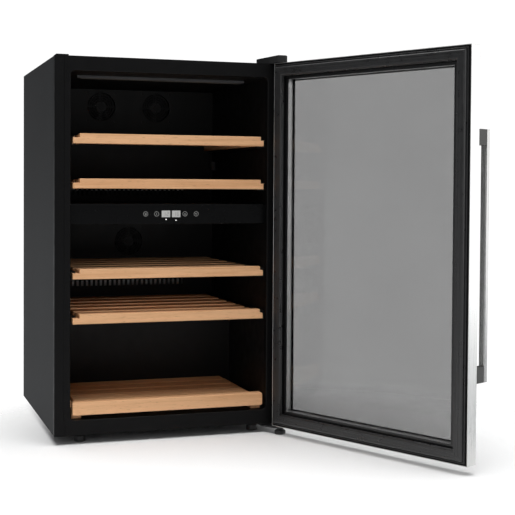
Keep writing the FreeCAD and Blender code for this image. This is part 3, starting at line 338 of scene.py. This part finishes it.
FINISHES = {
    "side_steel": coated_steel("charcoal_coated_steel", (0.0248, 0.0252, 0.0263), 0.6, 0.09),
    "back_steel": coated_steel("black_coated_steel", (0.012, 0.012, 0.013), 0.5),
    "galvanised_steel": galvanised("galvanised_steel"),
    "frame_plastic": moulded("front_frame_plastic", (0.0020, 0.0019, 0.0021), 0.48, gloss=0.14),
    "liner_plastic": moulded("liner_plastic", (0.0048, 0.0048, 0.0050), 0.5, gloss=0.25),
    "duct_plastic": moulded("duct_plastic", (0.013, 0.013, 0.0134), 0.46, gloss=0.3),
    "insulation": moulded("foam", (0.62, 0.52, 0.32), 0.9, 120, 0.0008),
    "fan_plastic": moulded("fan_plastic", (0.008, 0.008, 0.0085), 0.4),
    "screw_steel": galvanised("screw_steel", (0.24, 0.24, 0.25)),
    "evaporator_aluminium": brushed_steel("evaporator_aluminium", (0.7, 0.7, 0.71), 0.42),
    "sensor_plastic": moulded("sensor_plastic", (0.05, 0.05, 0.052), 0.4),
    "divider_plastic": moulded("divider_plastic", (0.009, 0.009, 0.0094), 0.45),
    "fascia_gloss": moulded("fascia_gloss", (0.0022, 0.0022, 0.0024), 0.24, 300, 0.00001, 0.10),
    "display_window": glow("display_window", (0.80, 0.80, 0.78), 0.30, 0.4, 0.3),
    "circuit_board": moulded("circuit_board", (0.02, 0.09, 0.03), 0.4),
    "light_body": moulded("light_body", (0.05, 0.05, 0.052), 0.4),
    "light_lens": glow("light_lens", (1.0, 0.97, 0.93), 0.005, 0.4, 0.03),
    "beech": wood("beech_boards"),
    "compressor_steel": coated_steel("compressor_paint", (0.008, 0.008, 0.009), 0.35, 0.5),
    "mount_rubber": rubber("mount_rubber", (0.012, 0.012, 0.012)),
    "relay_plastic": moulded("relay_plastic", (0.015, 0.015, 0.016)),
    "condenser_aluminium": coated_steel("condenser_black", (0.02, 0.02, 0.021), 0.45),
    "tray_plastic": moulded("tray_plastic", (0.10, 0.10, 0.105)),
    "inlet_plastic": moulded("inlet_plastic", (0.008, 0.008, 0.008)),
    "foot_plastic": moulded("foot_plastic", (0.009, 0.009, 0.0095)),
    "bracket_steel": coated_steel("bracket_zinc_black", (0.022, 0.022, 0.023), 0.4, 0.5),
    "stainless": brushed_steel("door_stainless", turn=-DOOR_TURN, border=skin_border),
    "door_plastic": moulded("door_frame_plastic", (0.0030, 0.0030, 0.0032), 0.42, gloss=0.10),
    "gasket_rubber": rubber("gasket_rubber", (0.012, 0.012, 0.0125), 0.32),
    "pane_glass": pane("pane_glass", (0.505, 0.505, 0.505)),
    "spacer_aluminium": brushed_steel("spacer_aluminium", (0.60, 0.60, 0.60), 0.4, turn=-DOOR_TURN),
    "handle_steel": brushed_steel("handle_stainless", (0.40, 0.40, 0.396), 0.24, turn=-DOOR_TURN),
    "standoff_grey": coated_steel("standoff_grey_paint", (0.062, 0.062, 0.060), 0.5, 0.25),
    "bush_plastic": moulded("bush_plastic", (0.55, 0.55, 0.53), 0.4),
}

for node, thing in NODES.items():
    thing.data.materials.clear()
    thing.data.materials.append(FINISHES[SLOT_OF[node]])

OWN_FINISHES = {
    "cover_screws": coated_steel("black_screw", (0.006, 0.006, 0.0065), 0.4),
    "upper_hinge_cover": moulded("hinge_cover_plastic", (0.020, 0.020, 0.0205), 0.5, gloss=0.08),
}
for node, finish in OWN_FINISHES.items():
    NODES[node].data.materials[0] = finish

# Every board gets its own stretch of grain, and a rack's rails run front to back.
BOARDS = ("shelf_1", "shelf_2", "shelf_3", "shelf_4", "bottom_shelf")
SLAT_THICK = 7.2
for number, name in enumerate(BOARDS, 1):
    NODES[name + "_trim"].data.materials[0] = wood(name + "_trim_beech", shift=0.37 * number)
    rack = NODES[name + "_rack"]
    rack.data.materials[0] = wood(name + "_slat_beech", shift=0.53 * number)
    rack.data.materials.append(wood(name + "_rail_beech", "y", shift=0.71 * number))
    slat_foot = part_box(name + "_rack")[1].z - SLAT_THICK * MM
    for face in rack.data.polygons:
        face.material_index = 1 if face.center.z < slat_foot else 0


WELD_DISTANCE = 0.00001
BEVEL_ANGLE = math.radians(40)
BEVEL_WIDTHS = {
    "handle_bar": 0.0007,
    "handle_standoffs": 0.0006,
    "zone_divider": 0.001,
    "control_fascia": 0.0005,
    "light_housing": 0.0008,
    "door_skin": 0.0004,
    "machine_wall": 0.0006,
    "drip_tray": 0.0006,
    "relay_box": 0.0008,
    "outer_pane": 0.0005,
    "inner_pane": 0.0005,
}
for name in BOARDS:
    BEVEL_WIDTHS[name + "_trim"] = 0.0008
    BEVEL_WIDTHS[name + "_rack"] = 0.0007

# The sharp edges of these CAD nodes are rounded for show.
for node, width in BEVEL_WIDTHS.items():
    weld = NODES[node].modifiers.new("weld", "WELD")
    weld.merge_threshold = WELD_DISTANCE
    bevel = NODES[node].modifiers.new("bevel", "BEVEL")
    bevel.width = width
    bevel.segments = 2
    bevel.limit_method = "ANGLE"
    bevel.angle_limit = BEVEL_ANGLE
    bevel.harden_normals = True


# ------------------------------------------------------------ piece makers


def piece(name, spots, faces, finish, body, slot, place=Matrix.Identity(4), stands_for=()):
    """A mesh piece from points in mm, turned into its place. The finish is a slot or a material."""
    mesh = bpy.data.meshes.new(name)
    mesh.from_pydata([place @ (Vector(spot) * MM) for spot in spots], [], faces)
    mesh.validate()
    mesh.update()
    mesh.materials.append(FINISHES[finish] if isinstance(finish, str) else finish)
    thing = bpy.data.objects.new(name, mesh)
    bpy.context.scene.collection.objects.link(thing)
    mesh.shade_smooth()
    mesh.set_sharp_from_angle(angle=FLAT_ANGLE)
    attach(thing, body)
    if stands_for:
        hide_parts(*stands_for)


def door_piece(name, spots, faces, finish, slot, stands_for=()):
    """A piece of the door, drawn with the door closed."""
    piece(name, spots, faces, finish, "door", slot, DOOR_OPEN, stands_for)


def mitred_ring(low, high, profile):
    """Points and faces of a closed profile of (inset, depth) led round a rectangle."""
    spots, faces = [], []
    count = len(profile)
    corners = (
        (low.x, low.z, 1, 1),
        (high.x, low.z, -1, 1),
        (high.x, high.z, -1, -1),
        (low.x, high.z, 1, -1),
    )
    for x, z, right, up in corners:
        for inset, depth in profile:
            spots.append((x + right * inset, depth, z + up * inset))
    for corner in range(4):
        for step in range(count):
            a, b = corner * count, (corner + 1) % 4 * count
            after = (step + 1) % count
            faces.append((a + step, a + after, b + after, b + step))
    return spots, faces


def joined(parts):
    """The points and faces of several parts as one list of each."""
    spots, faces = [], []
    for more_spots, more_faces in parts:
        faces += [tuple(len(spots) + index for index in face) for face in more_faces]
        spots += more_spots
    return spots, faces


# ------------------------------------------------------------ door pieces

# The gasket: a low outer lip, a groove, and a wide flat magnet head with two fine lines.
# Its outline is across and up, in mm.
gasket_low, gasket_high = local_box("door_gasket")
GASKET_OUTLINE = (
    (0.0, 0.0), (0.0, 1.8), (0.5, 2.5), (1.2, 2.7), (1.9, 2.4), (2.3, 1.8), (2.7, 1.4),
    (3.3, 1.4), (3.6, 1.9), (3.75, 3.0), (3.95, 4.2), (4.3, 5.5), (4.8, 6.7), (5.5, 7.7),
    (6.4, 8.35), (7.4, 8.65), (10.6, 8.68), (10.9, 8.2), (11.3, 8.2), (11.6, 8.68),
    (16.8, 8.68), (17.1, 8.2), (17.5, 8.2), (17.8, 8.68), (21.4, 8.6), (22.6, 8.2),
    (23.4, 7.3), (23.8, 6.2), (24.0, 4.4), (24.4, 3.0), (25.0, 2.2), (25.0, 0.0),
)
profile = [(across, gasket_low.y + height) for across, height in GASKET_OUTLINE]
spots, faces = mitred_ring(gasket_low, gasket_high, profile)
door_piece("ribbed_gasket", spots, faces, "gasket_rubber", "gasket_rubber", ("door_gasket",))

# The spacer: a hollow aluminium bar between the panes, with two rows of breather holes.
spacer_low, spacer_high = local_box("pane_spacer")
SPACER_START = 0.4
SPACER_INSET = 12.4
WALL_MARGIN = 0.2
SHELL_MARGIN = 0.1
SHELL_DEPTH = 1.3
HOLE_PITCH = 3.6
HOLE_RADIUS = 0.75
HOLE_DEPTH = 0.8
HOLE_ROWS = 2
HOLE_SIDES = 8
ROW_SHIFT = 0.125
# One cell of the wall: eight points round a square, from its lower left corner.
CELL_SQUARE = (
    (-0.5, -0.5), (0, -0.5), (0.5, -0.5), (0.5, 0), (0.5, 0.5), (0, 0.5), (-0.5, 0.5), (-0.5, 0)
)


def drilled_wall(start, end, inward):
    """Points and faces of a flat strip with holes, and a short pocket behind each hole."""
    spots, faces = [], []
    run = Vector(end) - Vector(start)
    along = run.normalized()
    cells = int(run.length / HOLE_PITCH)
    pitch = run.length / cells
    row_tall = (wall_high - wall_low) / HOLE_ROWS
    for cell in range(cells):
        for row in range(HOLE_ROWS):
            first = len(spots)
            height = wall_low + row_tall * (row + 0.5)
            middle = Vector(start) + along * pitch * (cell + 0.5) + Vector((0, height, 0))
            centre = middle + along * pitch * (ROW_SHIFT if row else -ROW_SHIFT)
            for right, up in CELL_SQUARE:
                spots.append(middle + along * right * pitch + Vector((0, up * row_tall, 0)))
            for depth in (0, HOLE_DEPTH):
                for side in range(HOLE_SIDES):
                    angle = math.pi * (1.25 + side * 0.25)
                    rim = along * math.cos(angle) + Vector((0, math.sin(angle), 0))
                    spots.append(centre + rim * HOLE_RADIUS - inward * depth)
            for side in range(HOLE_SIDES):
                after = (side + 1) % HOLE_SIDES
                for loop in (first, first + HOLE_SIDES):
                    deeper = loop + HOLE_SIDES
                    faces.append((loop + side, deeper + side, deeper + after, loop + after))
            floor_first = first + 2 * HOLE_SIDES
            faces.append(tuple(floor_first + side for side in reversed(range(HOLE_SIDES))))
    return spots, faces


left_x, right_x = spacer_low.x + SPACER_INSET, spacer_high.x - SPACER_INSET
low_z, high_z = spacer_low.z + SPACER_INSET, spacer_high.z - SPACER_INSET
wall_low, wall_high = spacer_low.y + WALL_MARGIN, spacer_high.y - WALL_MARGIN
walls = (
    ((left_x, 0, low_z), (left_x, 0, high_z), Vector((1, 0, 0))),
    ((right_x, 0, high_z), (right_x, 0, low_z), Vector((-1, 0, 0))),
    ((left_x, 0, high_z), (right_x, 0, high_z), Vector((0, 0, -1))),
    ((right_x, 0, low_z), (left_x, 0, low_z), Vector((0, 0, 1))),
)
shell = [
    (SPACER_INSET, wall_low),
    (SPACER_INSET, wall_low - SHELL_MARGIN),
    (SPACER_START, wall_low - SHELL_MARGIN),
    (SPACER_START, wall_high + SHELL_MARGIN),
    (SPACER_INSET, wall_high + SHELL_MARGIN),
    (SPACER_INSET, wall_high),
    (SPACER_INSET - SHELL_DEPTH, wall_high),
    (SPACER_INSET - SHELL_DEPTH, wall_low),
]
spots, faces = joined(
    [drilled_wall(*wall) for wall in walls] + [mitred_ring(spacer_low, spacer_high, shell)]
)
door_piece("drilled_spacer", spots, faces, "spacer_aluminium", "spacer_aluminium", ("pane_spacer",))

# The black ink border printed on each pane, on its face towards the cabinet. Along the free edge of the door
# it is widened with painted shade that stands for the dark side of the gasket, and the outer one is a little
# narrower on top.
INK = printed("black_ceramic_ink", (0.004, 0.004, 0.0042), 0.3)
INK_THICK = 0.12
INK_START = 0.3
# Extra black along the free edge, in mm: painted shade for the gasket's side, not print.
FREE_EDGE_PAINTED_SHADE = 4.5
for name, node, wide, top_trim in (
    ("outer_ink_border", "outer_pane", 16.5, 3.0),
    ("inner_ink_border", "inner_pane", 13.0, 0.0),
):
    low, high = local_box(node)
    near, far = high.y, high.y + INK_THICK
    outline = [(INK_START, near), (INK_START, far), (wide, far), (wide, near)]
    spots, faces = mitred_ring(low, high, outline)
    free_edge, top = low.x + wide, high.z - wide
    # The free-edge line moves inward by the painted shade strip; the outer ring's top edge moves up.
    spots = [
        (
            x + FREE_EDGE_PAINTED_SHADE if math.isclose(x, free_edge) else x,
            y,
            z + top_trim if math.isclose(z, top) else z,
        )
        for x, y, z in spots
    ]
    door_piece(name, spots, faces, INK, "pane_glass")


# --------------------------------------------------------- control strip

SYMBOL_INK = glow("symbol_ink", (0.62, 0.62, 0.60), 0.10, 0.4, 0.35)
DIGIT_INK = printed("digit_ink", (0.20, 0.20, 0.20), 0.4)
LAMP = glow("lamp", (1.0, 1.0, 0.98), 0.7)
PRINT_THICK = 0.12
PRINT_SINK = 0.02
LINE_WIDE = 0.9
window_low, window_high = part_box("display_windows")
window_middle_z = (window_low.z + window_high.z) / 2 / MM
window_left, window_right = window_low.x / MM, window_high.x / MM
strip_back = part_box("control_fascia")[0].y / MM + PRINT_SINK
window_back = window_low.y / MM + PRINT_SINK


def slab(outline, back):
    """Points and faces of a flat anticlockwise outline in x and z, standing proud of its back."""
    count = len(outline)
    spots = [(x, back - depth, z) for depth in (0, PRINT_THICK) for x, z in outline]
    faces = [tuple(reversed(range(count))), tuple(range(count, 2 * count))]
    for step in range(count):
        after = (step + 1) % count
        faces.append((step, after, after + count, step + count))
    return spots, faces


def stroke(start, end, back):
    """A straight bar between two points, as a slab."""
    first, last = Vector(start), Vector(end)
    side = (last - first).normalized().orthogonal() * LINE_WIDE / 2
    outline = [first + side, first - side, last - side, last + side]
    return slab([tuple(spot) for spot in outline], back)


def around(x, z, radius_x, radius_z, sides):
    """Points round an ellipse, anticlockwise."""
    turns = [math.tau * step / sides for step in range(sides)]
    return [(x + radius_x * math.cos(turn), z + radius_z * math.sin(turn)) for turn in turns]


def ring(x, z, radius, back):
    """A flat round ring with a line's width."""
    inner = around(x, z, radius - LINE_WIDE / 2, radius - LINE_WIDE / 2, RING_SIDES)
    outer = around(x, z, radius + LINE_WIDE / 2, radius + LINE_WIDE / 2, RING_SIDES)
    front = back - PRINT_THICK
    spots, faces = [], []
    for (in_x, in_z), (out_x, out_z) in zip(inner, outer):
        spots += [(in_x, back, in_z), (out_x, back, out_z), (out_x, front, out_z), (in_x, front, in_z)]
    for step in range(RING_SIDES):
        a, b = 4 * step, 4 * ((step + 1) % RING_SIDES)
        faces += [(a + k, b + k, b + (k + 1) % 4, a + (k + 1) % 4) for k in range(4)]
    return spots, faces


# Four touch symbols: bars inside a ring, given about the ring's centre.
RING_SIDES = 40
SYMBOL_RADIUS = 5.0
SYMBOLS = (
    ("light_symbol", window_left - 36.5,
     [((-2.2, 2.2), (2.2, -2.2)), ((2.2, 2.2), (-2.2, -2.2)), ((-2.2, -2.4), (2.2, -2.4))]),
    ("power_symbol", window_left - 11.6,
     [((0, -2.6), (0, 2.6))]),
    ("warmer_symbol", window_right + 10.4,
     [((-2.4, -1.6), (0, 1.4)), ((2.4, -1.6), (0, 1.4)), ((-1.2, -2.6), (1.2, -2.6))]),
    ("cooler_symbol", window_right + 36.3,
     [((-2.4, 1.6), (0, -1.4)), ((2.4, 1.6), (0, -1.4)), ((0, -1.4), (0, -3.2))]),
)
for name, place_x, bars in SYMBOLS:
    parts = [ring(place_x, window_middle_z, SYMBOL_RADIUS, strip_back)]
    for bar in bars:
        start, end = [(place_x + x, window_middle_z + z) for x, z in bar]
        parts.append(stroke(start, end, strip_back))
    piece(name, *joined(parts), SYMBOL_INK, "cabinet", "fascia_gloss")

# Two digits in each window, drawn as seven bars on a grid one wide and two tall each way.
BARS = {
    "a": ((-1, 2), (1, 2)),
    "b": ((1, 2), (1, 0)),
    "c": ((1, 0), (1, -2)),
    "d": ((-1, -2), (1, -2)),
    "e": ((-1, -2), (-1, 0)),
    "f": ((-1, 0), (-1, 2)),
    "g": ((-1, 0), (1, 0)),
}
DIGITS = {"1": "bc", "2": "abged", "6": "afgedc"}
DIGIT_HALF = 2.0
DIGIT_APART = 3.9
BAR_GAP = 0.25
WINDOW_WIDE = 19.5
for name, middle, text in (
    ("upper_zone_digits", window_left + WINDOW_WIDE / 2, "12"),
    ("lower_zone_digits", window_right - WINDOW_WIDE / 2, "16"),
):
    parts = []
    for place_x, digit in zip((middle - DIGIT_APART, middle + DIGIT_APART), text):
        centre = Vector((place_x, window_middle_z))
        for bar in DIGITS[digit]:
            first, last = [centre + Vector(spot) * DIGIT_HALF for spot in BARS[bar]]
            gap = (last - first).normalized() * BAR_GAP
            parts.append(stroke(first + gap, last - gap, window_back))
    piece(name, *joined(parts), DIGIT_INK, "cabinet", "display_window")

LAMP_RADII = (1.5, 1.3)
LAMP_SIDES = 24
for name, place_x, drop in (
    ("left_lamp", window_left + 9.9, 12.2),
    ("right_lamp", window_right - 10.4, 14.2),
):
    outline = around(place_x, window_middle_z - drop, *LAMP_RADII, LAMP_SIDES)
    piece(name, *slab(outline, strip_back), LAMP, "cabinet", "fascia_gloss")


# ------------------------------------------------------------- the studio

# The floor is pale round the object and fades out to the white backdrop.
FLOOR_HALF = 30
FLOOR_DROP = 0.0002
FADE_CENTRE = (-0.06, -0.15, 0)
FADE_START, FADE_END = 0.5, 0.84
floor_spots = [
    (x * FLOOR_HALF, y * FLOOR_HALF, -FLOOR_DROP) for x, y in ((-1, -1), (1, -1), (1, 1), (-1, 1))
]
floor_mesh = bpy.data.meshes.new("floor")
floor_mesh.from_pydata(floor_spots, [], [(0, 1, 2, 3)])
floor = bpy.data.objects.new("floor", floor_mesh)
bpy.context.scene.collection.objects.link(floor)
floor_paint = Paint("pale_sweep")
speckle = floor_paint.noise(240, detail=4)
floor_paint.finish(
    floor_paint.ramp(speckle, (0.3, (0.92, 0.92, 0.92)), (0.7, (0.95, 0.95, 0.95))),
    0.9,
    floor_paint.bump(speckle, 0.0001, 0.2),
    **{"Specular IOR Level": 0.0},
)
away = floor_paint.node("ShaderNodeVectorMath", operation="DISTANCE")
away.inputs[1].default_value = FADE_CENTRE
floor_paint.link(floor_paint.place, away.inputs[0])
fade = floor_paint.spread(away.outputs["Value"], 0.0, 1.0, FADE_START, FADE_END)
clear = floor_paint.node("ShaderNodeBsdfTransparent")
faded = floor_paint.node("ShaderNodeMixShader")
surface = floor_paint.tree.nodes["Material Output"].inputs["Surface"]
floor_paint.link(fade, faded.inputs["Fac"])
floor_paint.link(floor_paint.shader.outputs["BSDF"], faded.inputs[1])
floor_paint.link(clear.outputs["BSDF"], faded.inputs[2])
floor_paint.link(faded.outputs["Shader"], surface)
floor_mesh.materials.append(floor_paint.material)

# The world lights faintly from above and more from below, as a white floor would. What the
# camera sees of it, straight or through the glass, is a white backdrop.
WORLD_BELOW, WORLD_ABOVE = 0.80, 0.10
WORLD_BLEND = 0.03
BACKDROP = 1.05
world = bpy.data.worlds.new("studio")
bpy.context.scene.world = world
world.use_nodes = True
sky = world.node_tree
make_node, make_link = sky.nodes.new, sky.links.new
heading = make_node("ShaderNodeTexCoord")
parts = make_node("ShaderNodeSeparateXYZ")
lower = make_node("ShaderNodeMapRange")
for key, value in (
    ("From Min", -WORLD_BLEND),
    ("From Max", WORLD_BLEND),
    ("To Min", WORLD_BELOW),
    ("To Max", WORLD_ABOVE),
):
    lower.inputs[key].default_value = value
room = sky.nodes["Background"]
room.inputs["Color"].default_value = (0.96, 0.98, 1.0, 1)
backdrop = make_node("ShaderNodeBackground")
backdrop.inputs["Color"].default_value = (1, 1, 1, 1)
backdrop.inputs["Strength"].default_value = BACKDROP
paths = make_node("ShaderNodeLightPath")
seen = make_node("ShaderNodeMath")
seen.operation = "MAXIMUM"
choose = make_node("ShaderNodeMixShader")
make_link(heading.outputs["Generated"], parts.inputs["Vector"])
make_link(parts.outputs["Z"], lower.inputs["Value"])
make_link(lower.outputs["Result"], room.inputs["Strength"])
make_link(paths.outputs["Is Camera Ray"], seen.inputs[0])
make_link(paths.outputs["Is Transmission Ray"], seen.inputs[1])
make_link(seen.outputs[0], choose.inputs["Fac"])
make_link(room.outputs["Background"], choose.inputs[1])
make_link(backdrop.outputs["Background"], choose.inputs[2])
make_link(choose.outputs["Shader"], sky.nodes["World Output"].inputs["Surface"])

# Three softboxes: name, place, aim, width, height and power.
for name, place_at, aim, wide, tall, watts in (
    ("softbox_top", (-0.3, -0.35, 3.6), (-0.2, 0.0, 0.0), 3.8, 3.8, 185),
    ("softbox_right", (3.3, -1.7, 1.3), (0.1, -0.2, 0.5), 3.8, 3.0, 64),
    ("softbox_front_left", (-3.2, -4.6, 2.0), (-0.3, 0.0, 0.4), 2.6, 2.6, 26),
):
    lamp = bpy.data.lights.new(name, "AREA")
    lamp.shape = "RECTANGLE"
    lamp.size, lamp.size_y = wide, tall
    lamp.energy = watts
    holder = bpy.data.objects.new(name, lamp)
    holder.location = place_at
    holder.rotation_euler = (Vector(aim) - Vector(place_at)).to_track_quat("-Z", "Y").to_euler()
    holder.visible_camera = False
    bpy.context.scene.collection.objects.link(holder)

# -------------------------------------------------------------- the camera

CAMERA_PLACE = (-0.8915, -2.3943, 0.5626)
CAMERA_YAW, CAMERA_PITCH, CAMERA_ROLL = 0.3153, 0.0259, 0.0056
CAMERA_SHIFT = (0.0437, -0.0825)
FOCAL_SHARE = 2.1913
SENSOR = 36.0
level = Vector((math.sin(CAMERA_YAW), math.cos(CAMERA_YAW), 0))
sideways = Vector((math.cos(CAMERA_YAW), -math.sin(CAMERA_YAW), 0))
upright = Vector((0, 0, 1))
forward = level * math.cos(CAMERA_PITCH) - upright * math.sin(CAMERA_PITCH)
lifted = upright * math.cos(CAMERA_PITCH) + level * math.sin(CAMERA_PITCH)
right = sideways * math.cos(CAMERA_ROLL) + lifted * math.sin(CAMERA_ROLL)
over = lifted * math.cos(CAMERA_ROLL) - sideways * math.sin(CAMERA_ROLL)
camera_data = bpy.data.cameras.new("camera")
camera = bpy.data.objects.new("camera", camera_data)
turned = Matrix((right, over, -forward)).transposed().to_4x4()
camera.matrix_world = Matrix.Translation(CAMERA_PLACE) @ turned
camera_data.sensor_width = SENSOR
camera_data.lens = FOCAL_SHARE * SENSOR
camera_data.shift_x, camera_data.shift_y = CAMERA_SHIFT
camera_data.clip_start = 0.05
camera_data.clip_end = 100
bpy.context.scene.collection.objects.link(camera)
bpy.context.scene.camera = camera
bpy.context.scene.view_settings.view_transform = "Standard"
